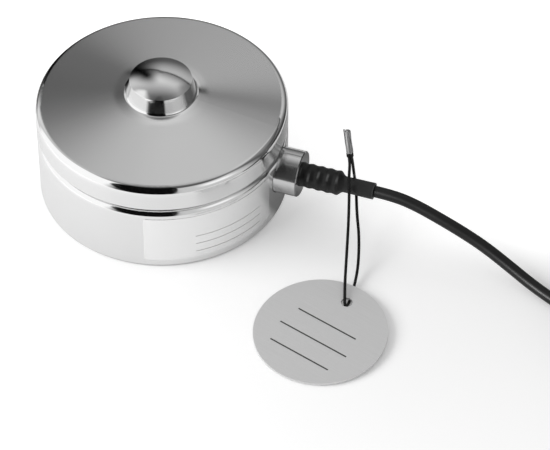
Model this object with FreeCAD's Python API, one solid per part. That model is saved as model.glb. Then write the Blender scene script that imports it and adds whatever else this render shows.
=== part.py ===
import FreeCAD, Part
import math
import os
from FreeCAD import Placement, Rotation, Vector

# Weighing load cell: a turned stainless compression cell with a sloped cap and a domed load button.
# A hollow column inside carries the load past a ceramic capacitance sensor and a ring-shaped board.
# A cable leaves through a side boss under a shrunk sleeve, and a round tag is tied to it by a wire.
# Millimetres. The base stands on z = 0, the load axis is Z and the cable leaves along +X.

# Housing
body_radius = 50.0
wall_top = 27.0
shoulder_radius = 2.8
base_chamfer = 0.5
housing_wall = 10.0
floor_thickness = 10.0
base_hole_count = 3
base_hole_circle = 60.0
base_hole_radius = 3.4
base_hole_depth = 7.0
base_hole_bearing = 0.0

# Load cap with its button
seam_gap = 2.0
cap_edge = 10.8
cap_fillet = 3.2
cone_slope = 8.0
foot_radius = 14.75
foot_cove = 1.2
button_radius = 12.3
button_height = 6.58
dome_radius = 26.0
cap_plate = 7.0
hub_radius = 17.0
hub_height = 2.6
skirt_wall = 3.0
skirt_depth = 5.0
skirt_clearance = 0.4
seal_width = 4.0
seal_fit = 0.1

# Measuring column
column_radius = 14.0
column_bore = 9.0
column_roof = 3.0
flange_radius = 24.0
flange_height = 4.0
spigot_radius = 9.0
spigot_length = 6.0
socket_room = 0.5
press_fit = 0.03

# Sensor inside the column
sensor_gap = 0.3
sensor_fit = 0.1
sensor_ledge = 2.0
ceramic_thickness = 2.5
clamp_height = 3.0
clamp_wall = 3.4
electrode_radius = 6.4
electrode_stem = 2.5
electrode_thread = 5.0
lead_radius = 0.6
lead_offset = 2.5
lead_rise = 2.2
lead_drop = 2.0
lead_bend = 1.5
port_radius = 1.1

# Circuit board
board_thickness = 1.6
board_gap = 1.0
board_under_cable = 1.5
chip_side = 10.0
chip_height = 1.6
chip_bearing = 120.0
crystal_length = 11.0
crystal_width = 4.6
crystal_height = 3.5
crystal_bearing = 150.0
capacitor_radius = 3.0
capacitor_height = 6.0
capacitor_bearings = (225.0, 255.0)
terminal_length = 7.0
terminal_width = 11.0
terminal_over_wire = 2.5
core_radius = 0.6
core_spread = 0.9
cable_end_gap = 1.0

# Screws: shank radius, head radius, head height, and depth in the floor
column_screw = (2.0, 3.5, 4.0, 6.0)
board_screw = (1.25, 2.4, 1.8, 5.0)
column_screw_count = 4
column_screw_bearing = 45.0
board_screw_count = 3
board_screw_bearing = 60.0
spacer_radius = 2.6
thread_fit = 0.05
hole_fit = 0.2

# Cable entry
boss_radius = 9.3
boss_reach = 8.6
boss_chamfer = 0.35
boss_margin = 1.0
boss_seat_depth = 3.5
boss_gap = 0.25
gasket_thickness = 1.0
spigot_thread = 7.0
spigot_inset = 0.5
chamber_radius = 4.7
bush_length = 4.5
washer_thickness = 1.0
nipple_thread = 3.5
cable_radius = 2.4
cable_fit = 0.05
cable_room = 0.3

# Shrunk sleeve over the ribbed nipple
sleeve_wall = 0.8
rib_radius = 4.95
rib_growth = 0.1
rib_height = 0.26
rib_pitch = 3.8
rib_count = 4
first_rib = 3.6
rib_point_count = 8
neck_length = 2.6
neck_lead = 0.4
thin_length = 12.2
nipple_setback = 0.1

# Tag, its wire loop and the crimp that closes it
tag_radius = 26.0
tag_thickness = 1.0
tag_hole_radius = 2.25
tag_hole_offset = 17.5
tag_place = (86.2, -61.5)
tag_bearing = 72.4
tag_tilt = 2.2
wire_radius = 0.5
crimp_radius = 0.78
crimp_spread = 0.52
crimp_length = 11.8
collar_radius = 0.88
collar_height = 1.5
crimp_foot = Vector(77.99, -0.29, 37.7)
crimp_lean = Vector(-1.7, 0.1, 13.6)
strand_side = Vector(0.948, 0.317, 0.0)
strand_straight = 3.0

# Share of the shorter run that a bend of a wire or cable may take
bend_ratio = 0.45

# Route of the wire, from the left strand over the sleeve's front to the tag and back behind the sleeve
wire_points = [
    (78.6, -3.1, 26.5), (79.5, -5.0, 20.0), (82.0, -13.6, 13.2), (85.9, -28.0, 8.0), (88.4, -37.6, 5.2),
    (90.2, -43.4, 3.9), (91.0, -46.1, 3.0), (91.5, -46.0, 1.3), (91.9, -44.2, 0.7), (91.8, -40.6, 0.9),
    (91.3, -34.2, 1.1), (90.1, -25.4, 2.9), (87.2, -15.4, 8.8), (83.6, -7.4, 12.9), (80.2, 2.6, 14.8),
    (78.6, 4.9, 20.3), (78.0, 0.9, 26.6)]

# Route of the cable from the sleeve to the coil, and of its tail beyond the coil
cable_points = [
    (97.0, 0.0, 19.5), (106.0, -0.7, 17.9), (115.4, -2.2, 15.6), (125.6, -3.9, 12.8), (135.8, -6.0, 9.6),
    (146.2, -9.4, 6.2), (156.5, -13.5, 3.4), (166.0, -17.6, 2.4), (176.0, -22.2, 2.4), (186.0, -27.2, 2.4)]
tail_steps = [
    (9.5, 0.0, 0.0), (19.5, -1.0, -0.6), (30.0, -3.8, -4.2), (40.5, -7.8, -9.6), (50.0, -12.4, -13.2),
    (59.5, -17.8, -13.8), (68.0, -23.4, -13.8)]

# Coil of the length that is put away
coil_heading = -28.5
coil_lead = 10.0
coil_notch = 0.6
coil_turns_across = 5
coil_layers = 4
coil_pitch = 4.85
coil_inner_turn = 27.8
tie_bearing = 120.0
tie_thickness = 1.2
tie_proud = 0.4
tie_width = 4.2
tie_head = 6.0

# Loose cores at the cable's far end
boot_length = 10.0
boot_wall = 0.5
boot_overlap = 5.0
end_core_radius = 0.65
end_core_length = 32.0
end_core_spread = 5.0
end_core_gap = 0.13
end_core_fall_ratio = 0.6
end_core_flare_ratio = 0.8
end_core_reach = 1.1
end_core_names = ("red", "black", "green", "white")
lug_radius = 0.95
lug_length = 8.0

# Heights and radii that follow from the sizes
shoulder_top = wall_top + shoulder_radius
cap_bottom = shoulder_top + seam_gap
cap_rim = cap_bottom + cap_edge
bore_radius = body_radius - housing_wall
cap_ceiling = cap_rim - cap_plate
hub_face = cap_ceiling - hub_height
slope = math.radians(cone_slope)
boss_z = shoulder_top - boss_margin - boss_radius
boss_seat = body_radius - boss_seat_depth
boss_back = boss_seat + gasket_thickness
boss_face = body_radius + boss_reach
chamber_depth = bush_length + washer_thickness + nipple_thread
board_top = boss_z - cable_radius - board_under_cable
board_bottom = board_top - board_thickness
board_outer = bore_radius - board_gap
board_inner = flange_radius + board_gap
board_middle = (board_inner + board_outer) / 2
port_z = board_top + lead_rise
clamp_bottom = port_z + lead_drop
ceramic_bottom = clamp_bottom + clamp_height
sensor_step = ceramic_bottom + ceramic_thickness
column_seat = hub_face - column_roof
cable_start = bore_radius - cable_end_gap
last_rib = boss_face + first_rib + (rib_count - 1) * rib_pitch
thin_radius = cable_radius + cable_fit + sleeve_wall
thin_start = last_rib + neck_length
sleeve_end = thin_start + thin_length
coil_outer_turn = coil_inner_turn + (coil_turns_across - 1) * coil_pitch
coil_height = 2 * cable_radius * coil_layers
coil_forward = Vector(math.cos(math.radians(coil_heading)), math.sin(math.radians(coil_heading)), 0)
coil_left = Vector(-coil_forward.y, coil_forward.x, 0)
coil_touch = Vector(cable_points[-1][0], cable_points[-1][1], cable_radius) + coil_forward * coil_lead
coil_centre = coil_touch + coil_left * coil_outer_turn
UP = Vector(0, 0, 1)
OUT = Vector(1, 0, 0)


def outline(start, *steps):
    """Closed wire in the XZ plane: a step is the next corner, an (arc middle, arc end) pair or a curve."""
    edges = []
    here = start
    closing = () if steps[-1][-1] == start else (start,)
    for step in steps + closing:
        if isinstance(step, list):
            curve = Part.BSplineCurve()
            curve.interpolate([Vector(x, 0, z) for x, z in step])
            edges.append(curve.toShape())
            end = step[-1]
        elif isinstance(step[0], tuple):
            middle, end = step
            edges.append(Part.Arc(*(Vector(x, 0, z) for x, z in (here, middle, end))).toShape())
        else:
            end = step
            edges.append(Part.LineSegment(*(Vector(x, 0, z) for x, z in (here, end))).toShape())
        here = end
    return Part.Wire(edges)


def polar(centre, radius, turn):
    """Point of an arc in an outline, from its centre, radius and angle."""
    return centre[0] + radius * math.cos(turn), centre[1] + radius * math.sin(turn)


def turned(axis, *steps):
    """Solid turned about an axis through the origin from a closed outline in the XZ plane."""
    return Part.Face(outline(*steps)).revolve(Vector(0, 0, 0), axis, 360)


def entry_turned(*steps):
    """Solid turned about the cable entry's axis: each corner is (distance along +X, radius)."""
    solid = turned(OUT, *steps)
    solid.translate(UP * boss_z)
    return solid


def ring(inner, outer, bottom, top):
    """Plain ring or disc about the load axis."""
    solid = Part.makeCylinder(outer, top - bottom, Vector(0, 0, bottom))
    if inner > 0:
        solid = solid.cut(Part.makeCylinder(inner, top - bottom, Vector(0, 0, bottom)))
    return solid


def entry_ring(inner, outer, near, far):
    """Plain ring about the cable entry's axis."""
    return entry_turned((near, inner), (far, inner), (far, outer), (near, outer))


def on_circle(count, radius, first):
    """Places evenly spaced on a circle about the load axis, the first at an angle in degrees."""
    angles = [math.radians(first + 360.0 * i / count) for i in range(count)]
    return [Vector(radius * math.cos(a), radius * math.sin(a), 0) for a in angles]


def pins(places, radius, bottom, top):
    """Upright round pins or holes at several places, as one group."""
    return Part.makeCompound([Part.makeCylinder(radius, top - bottom, p + UP * bottom) for p in places])


def screws(places, size, under_head):
    """Socket screws of (shank, head radius, head height, depth in the floor) with heads at a height."""
    shank, head, height, depth = size
    made = []
    for p in places:
        tip = floor_thickness - depth
        screw = Part.makeCylinder(shank, under_head - tip, p + UP * tip)
        screw = screw.fuse(Part.makeCylinder(head, height, p + UP * under_head))
        socket = Part.makeCylinder(head / 2, height / 2, p + UP * (under_head + height / 2))
        made.append(screw.cut(socket))
    return Part.makeCompound(made)


def route(points):
    """Straight runs joined by tangent arcs, each as large as its two runs allow, with the arcs' radii."""
    edges = []
    radii = []
    here = points[0]
    for before, corner, after in zip(points, points[1:], points[2:]):
        back = before - corner
        ahead = after - corner
        reach = bend_ratio * min(back.Length, ahead.Length)
        half_turn = (math.pi - back.getAngle(ahead)) / 2
        back.normalize()
        ahead.normalize()
        radius = reach / math.tan(half_turn)
        inward = (back + ahead).normalize()
        middle = corner + inward * (radius / math.cos(half_turn) - radius)
        first = corner + back * reach
        last = corner + ahead * reach
        edges.append(Part.LineSegment(here, first).toShape())
        edges.append(Part.Arc(first, middle, last).toShape())
        radii.append(round(radius, 1))
        here = last
    edges.append(Part.LineSegment(here, points[-1]).toShape())
    return Part.Wire(edges), radii


def tube(name, points, radius):
    """Round cord along a route, with its bend radii and its volume against section times length printed."""
    path, radii = route(points)
    start = path.Edges[0].Curve.Direction
    section = Part.Wire([Part.Circle(points[0], start, radius).toShape()])
    solid = path.makePipeShell([section], True, False)
    share = solid.Volume / (math.pi * radius ** 2 * path.Length)
    print(name, "length", round(path.Length, 1), "volume share", round(share, 4), "bend radii", radii)
    return solid


def housing():
    """Turned cup with a rounded shoulder, a spot-faced cable port and tapped holes in base and floor."""
    corner = shoulder_radius * math.sqrt(0.5)
    shoulder_middle = (body_radius - shoulder_radius + corner, wall_top + corner)
    cup = turned(
        UP, (0, 0), (body_radius - base_chamfer, 0), (body_radius, base_chamfer), (body_radius, wall_top),
        (shoulder_middle, (body_radius - shoulder_radius, shoulder_top)), (bore_radius, shoulder_top),
        (bore_radius, floor_thickness), (0, floor_thickness))
    spot_face = entry_ring(0, boss_radius + boss_gap, boss_seat, body_radius + boss_reach)
    port = entry_ring(0, spigot_thread + thread_fit, bore_radius - housing_wall, boss_seat)
    base_hole_places = on_circle(base_hole_count, base_hole_circle / 2, base_hole_bearing)
    base_holes = pins(base_hole_places, base_hole_radius, 0, base_hole_depth)
    cup = cup.cut(spot_face).cut(port).cut(base_holes)
    for places, size in ((column_screw_places(), column_screw), (board_screw_places(), board_screw)):
        bottom = floor_thickness - size[3] - thread_fit
        cup = cup.cut(pins(places, size[0] + thread_fit, bottom, floor_thickness))
    return cup


def column_screw_places():
    """The column's screws sit midway between the column and the flange's rim."""
    return on_circle(column_screw_count, (column_radius + flange_radius) / 2, column_screw_bearing)


def board_screw_places():
    """The board's screws sit on its middle circle, clear of the cable port."""
    return on_circle(board_screw_count, board_middle, board_screw_bearing)


def load_cap():
    """Turned cap: sloped top, rounded rim, tapered button with a domed end, hub, socket and dust skirt."""
    rim_arc = (body_radius - cap_fillet, cap_rim - cap_fillet * math.cos(slope))
    rim_turn = (math.pi / 2 - slope) / 2
    rim_middle = polar(rim_arc, cap_fillet, rim_turn)
    rim_end = (rim_arc[0] + cap_fillet * math.sin(slope), cap_rim)
    foot_z = cap_rim + (rim_end[0] - foot_radius) * math.tan(slope)
    button_edge = foot_z + button_height
    cove_arc = (foot_radius + foot_cove * math.sin(slope), foot_z + foot_cove * math.cos(slope))
    reach = (button_radius - cove_arc[0], button_edge - cove_arc[1])
    flank_turn = math.atan2(reach[1], reach[0]) + math.acos(foot_cove / math.hypot(*reach))
    cove_turn = (flank_turn + 3 * math.pi / 2 - slope) / 2
    cove_middle = polar(cove_arc, foot_cove, cove_turn)
    flank_end = polar(cove_arc, foot_cove, flank_turn)
    dome_z = button_edge - math.sqrt(dome_radius ** 2 - button_radius ** 2)
    dome_turn = math.asin(button_radius / dome_radius) / 2
    dome_middle = (dome_radius * math.sin(dome_turn), dome_z + dome_radius * math.cos(dome_turn))
    skirt_outer = bore_radius - skirt_clearance
    socket = spigot_radius + press_fit
    socket_top = hub_face + spigot_length + socket_room
    print("load button height", round(dome_z + dome_radius, 2), "button foot", round(foot_z, 2))
    return turned(
        UP, (0, socket_top), (socket, socket_top), (socket, hub_face), (hub_radius, hub_face),
        (hub_radius, cap_ceiling), (skirt_outer - skirt_wall, cap_ceiling),
        (skirt_outer - skirt_wall, shoulder_top - skirt_depth), (skirt_outer, shoulder_top - skirt_depth),
        (skirt_outer, cap_bottom), (body_radius, cap_bottom), (body_radius, rim_arc[1]),
        (rim_middle, rim_end), (foot_radius, foot_z), (cove_middle, flank_end), (button_radius, button_edge),
        (dome_middle, (0, dome_z + dome_radius)))


def seam_seal():
    """Flat rubber ring that closes the seam between the cap and the housing."""
    inner = bore_radius - skirt_clearance + seal_fit
    return ring(inner, inner + seal_width, shoulder_top, cap_bottom)


def spring_column():
    """Hollow measuring column: flange on the floor, stepped bore for the sensor, spigot for the cap."""
    top = hub_face + spigot_length
    ledge = column_bore - sensor_ledge
    stem = electrode_stem + thread_fit
    column = turned(
        UP, (column_bore, floor_thickness), (flange_radius, floor_thickness),
        (flange_radius, floor_thickness + flange_height), (column_radius, floor_thickness + flange_height),
        (column_radius, hub_face), (spigot_radius, hub_face), (spigot_radius, top), (0, top),
        (0, column_seat + electrode_thread + hole_fit), (stem, column_seat + electrode_thread + hole_fit),
        (stem, column_seat), (ledge, column_seat), (ledge, sensor_step), (column_bore, sensor_step))
    flange_top = floor_thickness + flange_height
    holes = pins(column_screw_places(), column_screw[0] + hole_fit, floor_thickness, flange_top)
    lead_port = Part.makeCylinder(port_radius, column_radius, Vector(0, 0, port_z), OUT * -1)
    return column.cut(holes).cut(lead_port)


def counter_electrode():
    """Steel electrode screwed into the column's roof, a hair above the ceramic."""
    top = column_seat + electrode_thread
    face = sensor_step + sensor_gap
    return turned(
        UP, (0, face), (electrode_radius, face), (electrode_radius, column_seat),
        (electrode_stem, column_seat), (electrode_stem, top), (0, top))


def ceramic_sensor():
    """Ceramic disc with the fixed electrode, against the step in the column's bore."""
    return ring(0, column_bore - sensor_fit, ceramic_bottom, sensor_step)


def sensor_clamp():
    """Threaded ring that holds the ceramic against its step."""
    outer = column_bore - sensor_fit
    return ring(outer - clamp_wall, outer, clamp_bottom, ceramic_bottom)


def sensor_lead():
    """Insulated lead from the ceramic through the column's port to the board."""
    landing = board_inner + board_gap
    start = Vector(-lead_offset, 0, ceramic_bottom)
    low = Vector(-lead_offset, 0, port_z)
    out = Vector(-landing, 0, port_z)
    end = Vector(-landing, 0, board_top)
    diagonal = lead_bend * (1 - math.sqrt(0.5))
    edges = [
        Part.LineSegment(start, low + UP * lead_bend).toShape(),
        Part.Arc(low + UP * lead_bend, low + (UP - OUT) * diagonal, low - OUT * lead_bend).toShape(),
        Part.LineSegment(low - OUT * lead_bend, out + OUT * lead_bend).toShape(),
        Part.Arc(out + OUT * lead_bend, out + (OUT - UP) * diagonal, out - UP * lead_bend).toShape(),
        Part.LineSegment(out - UP * lead_bend, end).toShape()]
    section = Part.Wire([Part.Circle(start, UP, lead_radius).toShape()])
    return Part.Wire(edges).makePipeShell([section], True, False)


def circuit_board():
    """Ring-shaped board round the column, on spacers above the floor."""
    board = ring(board_inner, board_outer, board_bottom, board_top)
    return board.cut(pins(board_screw_places(), board_screw[0] + hole_fit, board_bottom, board_top))


def board_spacers():
    """Sleeves between the floor and the board, round its screws."""
    posts = []
    height = board_bottom - floor_thickness
    for p in board_screw_places():
        post = Part.makeCylinder(spacer_radius, height, p + UP * floor_thickness)
        bore = Part.makeCylinder(board_screw[0] + hole_fit, height, p + UP * floor_thickness)
        posts.append(post.cut(bore))
    return Part.makeCompound(posts)


def on_board(length, width, height, angle):
    """Box on the board's middle circle, its length along the radius, at an angle in degrees."""
    box = Part.makeBox(length, width, height, Vector(board_middle - length / 2, -width / 2, board_top))
    box.rotate(Vector(0, 0, 0), UP, angle)
    return box


def board_capacitors():
    """Two upright filter capacitors."""
    places = [on_circle(1, board_middle, bearing)[0] for bearing in capacitor_bearings]
    return pins(places, capacitor_radius, board_top, board_top + capacitor_height)


def terminal_block():
    """Block on the board that takes the cable's cores, level with the cable entry."""
    return on_board(terminal_length, terminal_width, boss_z + terminal_over_wire - board_top, 0)


def core_wires():
    """Four stripped cores between the cable's inner end and the terminal block."""
    block_face = board_middle + terminal_length / 2
    cores = []
    for y, z in ((1, 1), (-1, 1), (-1, -1), (1, -1)):
        place = Vector(block_face, y * core_spread, boss_z + z * core_spread)
        cores.append(Part.makeCylinder(core_radius, cable_start - block_face, place, OUT))
    return Part.makeCompound(cores)


def cable_boss():
    """Stainless boss: threaded tail in the wall, chamfered face, gland chamber and cable bore."""
    tail = bore_radius + spigot_inset
    bore = cable_radius + cable_room
    return entry_turned(
        (tail, bore), (boss_face - chamber_depth, bore), (boss_face - chamber_depth, chamber_radius),
        (boss_face, chamber_radius), (boss_face, boss_radius - boss_chamfer),
        (boss_face - boss_chamfer, boss_radius), (boss_back, boss_radius), (boss_back, spigot_thread),
        (tail, spigot_thread))


def boss_gasket():
    """Sealing washer between the boss and its seat."""
    return entry_ring(spigot_thread + thread_fit, boss_radius - boss_chamfer, boss_seat, boss_back)


def gland_bush():
    """Rubber bush squeezed round the cable at the bottom of the gland chamber."""
    start = boss_face - chamber_depth
    return entry_ring(cable_radius + cable_fit, chamber_radius - cable_fit, start, start + bush_length)


def thrust_washer():
    """Washer between the rubber bush and the nipple's thread."""
    start = boss_face - nipple_thread - washer_thickness
    return entry_ring(cable_radius + cable_fit, chamber_radius - cable_fit, start, start + washer_thickness)


def rib_wave(inset, first, last):
    """Points of the ribbed profile between two places along the axis, a given depth under the sleeve."""
    count = rib_point_count * rib_count
    points = []
    for i in range(count + 1):
        x = first + (last - first) * i / count
        share = (x - boss_face) / (last_rib - boss_face)
        wave = math.cos(2 * math.pi * (x - last_rib) / rib_pitch) - 1
        points.append((x, rib_radius + rib_growth * share + rib_height / 2 * wave - inset))
    return points


def gland_nipple():
    """Ribbed nipple screwed into the boss, bored for the cable."""
    bore = cable_radius + cable_room
    start = boss_face - nipple_thread
    wave = rib_wave(sleeve_wall + cable_fit, boss_face, last_rib - neck_lead - nipple_setback)
    end = wave[-1][0]
    thread = chamber_radius - cable_fit
    return entry_turned((start, bore), (start, thread), (boss_face, thread), wave[0], wave, (end, bore))


def neck(start, high, low):
    """Two arcs that bring the sleeve down from the last rib to the cable, as outline steps."""
    drop = high - low
    radius = (neck_length ** 2 + drop ** 2) / (4 * drop)
    bend = math.atan2(drop, neck_length)
    half = neck_length / 2
    rise = radius * math.cos(bend)
    first = ((start + radius * math.sin(bend), high - radius + rise), (start + half, high - drop / 2))
    last = ((start + neck_length - radius * math.sin(bend), low + radius - rise), (start + neck_length, low))
    return first, last


def heat_shrink_sleeve():
    """Black sleeve shrunk over the nipple's ribs, drawn in at the neck and on along the cable."""
    outer = rib_wave(0, boss_face, last_rib)
    inner = rib_wave(sleeve_wall, boss_face, last_rib - neck_lead)
    shoulder, waist = neck(last_rib, outer[-1][1], thin_radius)
    inner_shoulder, inner_waist = neck(last_rib - neck_lead, inner[-1][1], thin_radius - sleeve_wall)
    inner_low = thin_radius - sleeve_wall
    outside = turned(
        OUT, (boss_face, 0), outer[0], outer, shoulder, waist, (sleeve_end, thin_radius), (sleeve_end, 0))
    inside = turned(
        OUT, (boss_face, 0), inner[0], inner, inner_shoulder, inner_waist, (sleeve_end, inner_low),
        (sleeve_end, 0))
    sleeve = outside.cut(inside)
    sleeve.translate(UP * boss_z)
    return sleeve


def cable_in_gland():
    """The cable's straight end, from inside the housing through the boss and the sleeve."""
    return Part.makeCylinder(cable_radius, sleeve_end - cable_start, Vector(cable_start, 0, boss_z), OUT)


def cable_run():
    """The cable from the sleeve, down to the surface and on to the coil."""
    points = [Vector(sleeve_end, 0, boss_z)] + [Vector(*p) for p in cable_points]
    points.append(coil_touch)
    return tube("cable", points, cable_radius)


def coil_section():
    """Half width and middle radius of the coil's bundle."""
    return (coil_outer_turn - coil_inner_turn) / 2 + cable_radius, (coil_outer_turn + coil_inner_turn) / 2


def cable_coil():
    """Outer shape of the wound coil, notched where the cable runs in and out and under the tie."""
    half, middle = coil_section()
    inner = middle - half
    outer = middle + half
    edge = cable_radius
    nick = edge * (1 - math.sqrt(0.5))
    bundle = turned(
        UP, (inner + edge, 0), (outer - edge, 0), ((outer - nick, nick), (outer, edge)),
        (outer, coil_height - edge), ((outer - nick, coil_height - nick), (outer - edge, coil_height)),
        (inner + edge, coil_height), ((inner + nick, coil_height - nick), (inner, coil_height - edge)),
        (inner, edge), ((inner + nick, nick), (inner + edge, 0)))
    bundle.translate(Vector(coil_centre.x, coil_centre.y, 0))
    arriving = cord_notch(coil_touch, -1)
    leaving = cord_notch(tail_start(), 1)
    return bundle.cut(arriving).cut(leaving).cut(tie_band(tie_width))


def cord_notch(place, way):
    """Room in the bundle for the cable along its outer turn, ahead of (1) or behind (-1) a place."""
    side = 2 * cable_radius + 2 * coil_notch
    start = 0 if way > 0 else -coil_outer_turn
    room = Part.makeBox(coil_outer_turn, 2 * side, side, Vector(start, -side - side / 2, -side / 2))
    room.rotate(Vector(0, 0, 0), UP, coil_heading)
    room.translate(place)
    return room


def tail_start():
    """Where the cable leaves the coil's top layer."""
    return coil_touch + UP * (coil_height - 2 * cable_radius)


def tie_band(width):
    """Flat band that binds the coil's bundle, proud at its sides and let in above and below."""
    half, middle = coil_section()
    half += tie_proud
    outside = Part.makeBox(2 * half, width, coil_height, Vector(middle - half, -width / 2, 0))
    inside = Part.makeBox(
        2 * (half - tie_thickness), width, coil_height - 2 * tie_thickness,
        Vector(middle - half + tie_thickness, -width / 2, tie_thickness))
    band = outside.cut(inside)
    band.rotate(Vector(0, 0, 0), UP, tie_bearing)
    band.translate(Vector(coil_centre.x, coil_centre.y, 0))
    return band


def coil_tie():
    """Tie with its square head on top of the bundle."""
    middle = coil_section()[1]
    corner = Vector(middle - tie_head / 2, -tie_head / 2, coil_height)
    head = Part.makeBox(tie_head, tie_head, tie_head / 2, corner)
    head.rotate(Vector(0, 0, 0), UP, tie_bearing)
    head.translate(Vector(coil_centre.x, coil_centre.y, 0))
    return tie_band(tie_width).fuse(head).removeSplitter()


def tail_points():
    """Points of the tail: straight on from the coil, away from it and down to the surface."""
    start = tail_start()
    steps = [coil_forward * ahead + coil_left * left + UP * rise for ahead, left, rise in tail_steps]
    return [start] + [start + step for step in steps]


def tail_end():
    """The cable's far end and the direction it points."""
    points = tail_points()
    return points[-1], (points[-1] - points[-2]).normalize()


def cable_tail():
    """The last of the cable, from the coil down to the surface."""
    return tube("tail", tail_points(), cable_radius)


def end_boot():
    """Short shrunk boot over the cable's cut end, with the cores coming out of it."""
    end, ahead = tail_end()
    start = end - ahead * boot_overlap
    bore = cable_radius + cable_fit
    boot = Part.makeCylinder(bore + boot_wall, boot_length, start, ahead)
    return boot.cut(Part.makeCylinder(bore, boot_overlap, start, ahead))


def end_cores():
    """Routes of the loose cores, fanned out flat from the boot's face."""
    end, ahead = tail_end()
    side = UP.cross(ahead)
    face = end + ahead * (boot_length - boot_overlap)
    low = Vector(0, 0, end_core_reach - face.z)
    middle = (len(end_core_names) - 1) / 2
    routes = {}
    for i, name in enumerate(end_core_names):
        fan = i - middle
        start = face + side * (fan * (2 * end_core_radius + end_core_gap))
        third = end_core_length / 3
        points = [start, start + ahead * (third / 2)]
        flare = fan * end_core_spread
        points.append(start + ahead * third + side * (flare / 3) + low * end_core_fall_ratio)
        points.append(start + ahead * (2 * third) + side * (flare * end_core_flare_ratio) + low)
        points.append(start + ahead * (3 * third) + side * flare + low)
        routes[name] = points
    return routes


def end_core_lugs():
    """Crimped sleeves on the ends of the loose cores."""
    lugs = []
    for points in end_cores().values():
        along = (points[-1] - points[-2]).normalize()
        lugs.append(Part.makeCylinder(lug_radius, lug_length, points[-1], along))
    return Part.makeCompound(lugs)


def tag_frame():
    """Placement of the tag: its hole side a little raised, its low edge on the surface."""
    bearing = math.radians(tag_bearing)
    hinge = Vector(math.sin(bearing), -math.cos(bearing), 0)
    lift = tag_radius * math.sin(math.radians(tag_tilt))
    tilted = Rotation(hinge, tag_tilt) * Rotation(UP, tag_bearing)
    return Placement(Vector(tag_place[0], tag_place[1], lift), tilted)


def id_tag():
    """Round steel tag with one hole near its rim."""
    tag = Part.makeCylinder(tag_radius, tag_thickness)
    tag = tag.cut(Part.makeCylinder(tag_hole_radius, tag_thickness, Vector(tag_hole_offset, 0, 0)))
    tag.Placement = tag_frame()
    return tag


def strand_ends():
    """The two strands' places under the crimp's collar, and the crimp's direction."""
    lean = Vector(crimp_lean).normalize()
    foot = crimp_foot - lean * collar_height
    across = crimp_across(lean)
    return foot - across * crimp_spread, foot + across * crimp_spread, lean


def tag_wire():
    """Coated wire from the crimp down over the sleeve, through the tag's hole and back up behind."""
    left, right, lean = strand_ends()
    points = [left, left - lean * strand_straight] + [Vector(*p) for p in wire_points]
    points += [right - lean * strand_straight, right]
    return tube("tag wire", points, wire_radius)


def crimp_across(lean):
    """Direction from the left strand to the right one, square to the crimp."""
    return (strand_side - lean * strand_side.dot(lean)).normalize()


def crimp_body(radius, foot, length):
    """Rounded flat bar round the two strands, standing on a point along the crimp's direction."""
    lean = Vector(crimp_lean).normalize()
    across = crimp_across(lean)
    depth = lean.cross(across)
    left = foot - across * crimp_spread
    right = foot + across * crimp_spread
    edges = [
        Part.LineSegment(left - depth * radius, right - depth * radius).toShape(),
        Part.Arc(right - depth * radius, right + across * radius, right + depth * radius).toShape(),
        Part.LineSegment(right + depth * radius, left + depth * radius).toShape(),
        Part.Arc(left + depth * radius, left - across * radius, left - depth * radius).toShape()]
    return Part.Face(Part.Wire(edges)).extrude(lean * length)


def wire_crimp():
    """Pressed sleeve that joins the wire's two ends."""
    return crimp_body(crimp_radius, crimp_foot, crimp_length)


def crimp_collar():
    """Black end of the strands' coating, gathered under the crimp."""
    lean = strand_ends()[2]
    return crimp_body(collar_radius, crimp_foot - lean * collar_height, collar_height)


pieces = {
    "housing": housing, "load_cap": load_cap, "seam_seal": seam_seal, "spring_column": spring_column,
    "counter_electrode": counter_electrode, "ceramic_sensor": ceramic_sensor, "sensor_clamp": sensor_clamp,
    "sensor_lead": sensor_lead, "circuit_board": circuit_board, "board_spacers": board_spacers,
    "board_capacitors": board_capacitors, "terminal_block": terminal_block, "core_wires": core_wires,
    "cable_boss": cable_boss, "boss_gasket": boss_gasket, "gland_bush": gland_bush,
    "thrust_washer": thrust_washer, "gland_nipple": gland_nipple, "heat_shrink_sleeve": heat_shrink_sleeve,
    "cable_in_gland": cable_in_gland, "cable_run": cable_run, "cable_coil": cable_coil, "coil_tie": coil_tie,
    "cable_tail": cable_tail, "end_boot": end_boot, "end_core_lugs": end_core_lugs, "id_tag": id_tag,
    "tag_wire": tag_wire, "wire_crimp": wire_crimp, "crimp_collar": crimp_collar}

shapes = {name: make() for name, make in pieces.items()}
shapes["column_screws"] = screws(column_screw_places(), column_screw, floor_thickness + flange_height)
shapes["board_screws"] = screws(board_screw_places(), board_screw, board_top)
shapes["processor_chip"] = on_board(chip_side, chip_side, chip_height, chip_bearing)
shapes["crystal_can"] = on_board(crystal_width, crystal_length, crystal_height, crystal_bearing)
for core, points in end_cores().items():
    shapes["end_core_" + core] = tube(core + " core", points, end_core_radius)

os.makedirs("parts", exist_ok=True)
for name, shape in shapes.items():
    if not shape.isValid():
        print("invalid", name)
    shape.exportStep("parts/" + name + ".step")
print(len(shapes), "nodes")
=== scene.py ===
# %% [markdown]
# A weighing load cell, dressed for its picture.
# The turned body, its cap, the cable boss and the tag come from the part as they are.
# This lesson gives them their finishes, lays the free cable and the tag's wire,
# and sets up a small white studio round them.

# %% Load the part
import math

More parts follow.
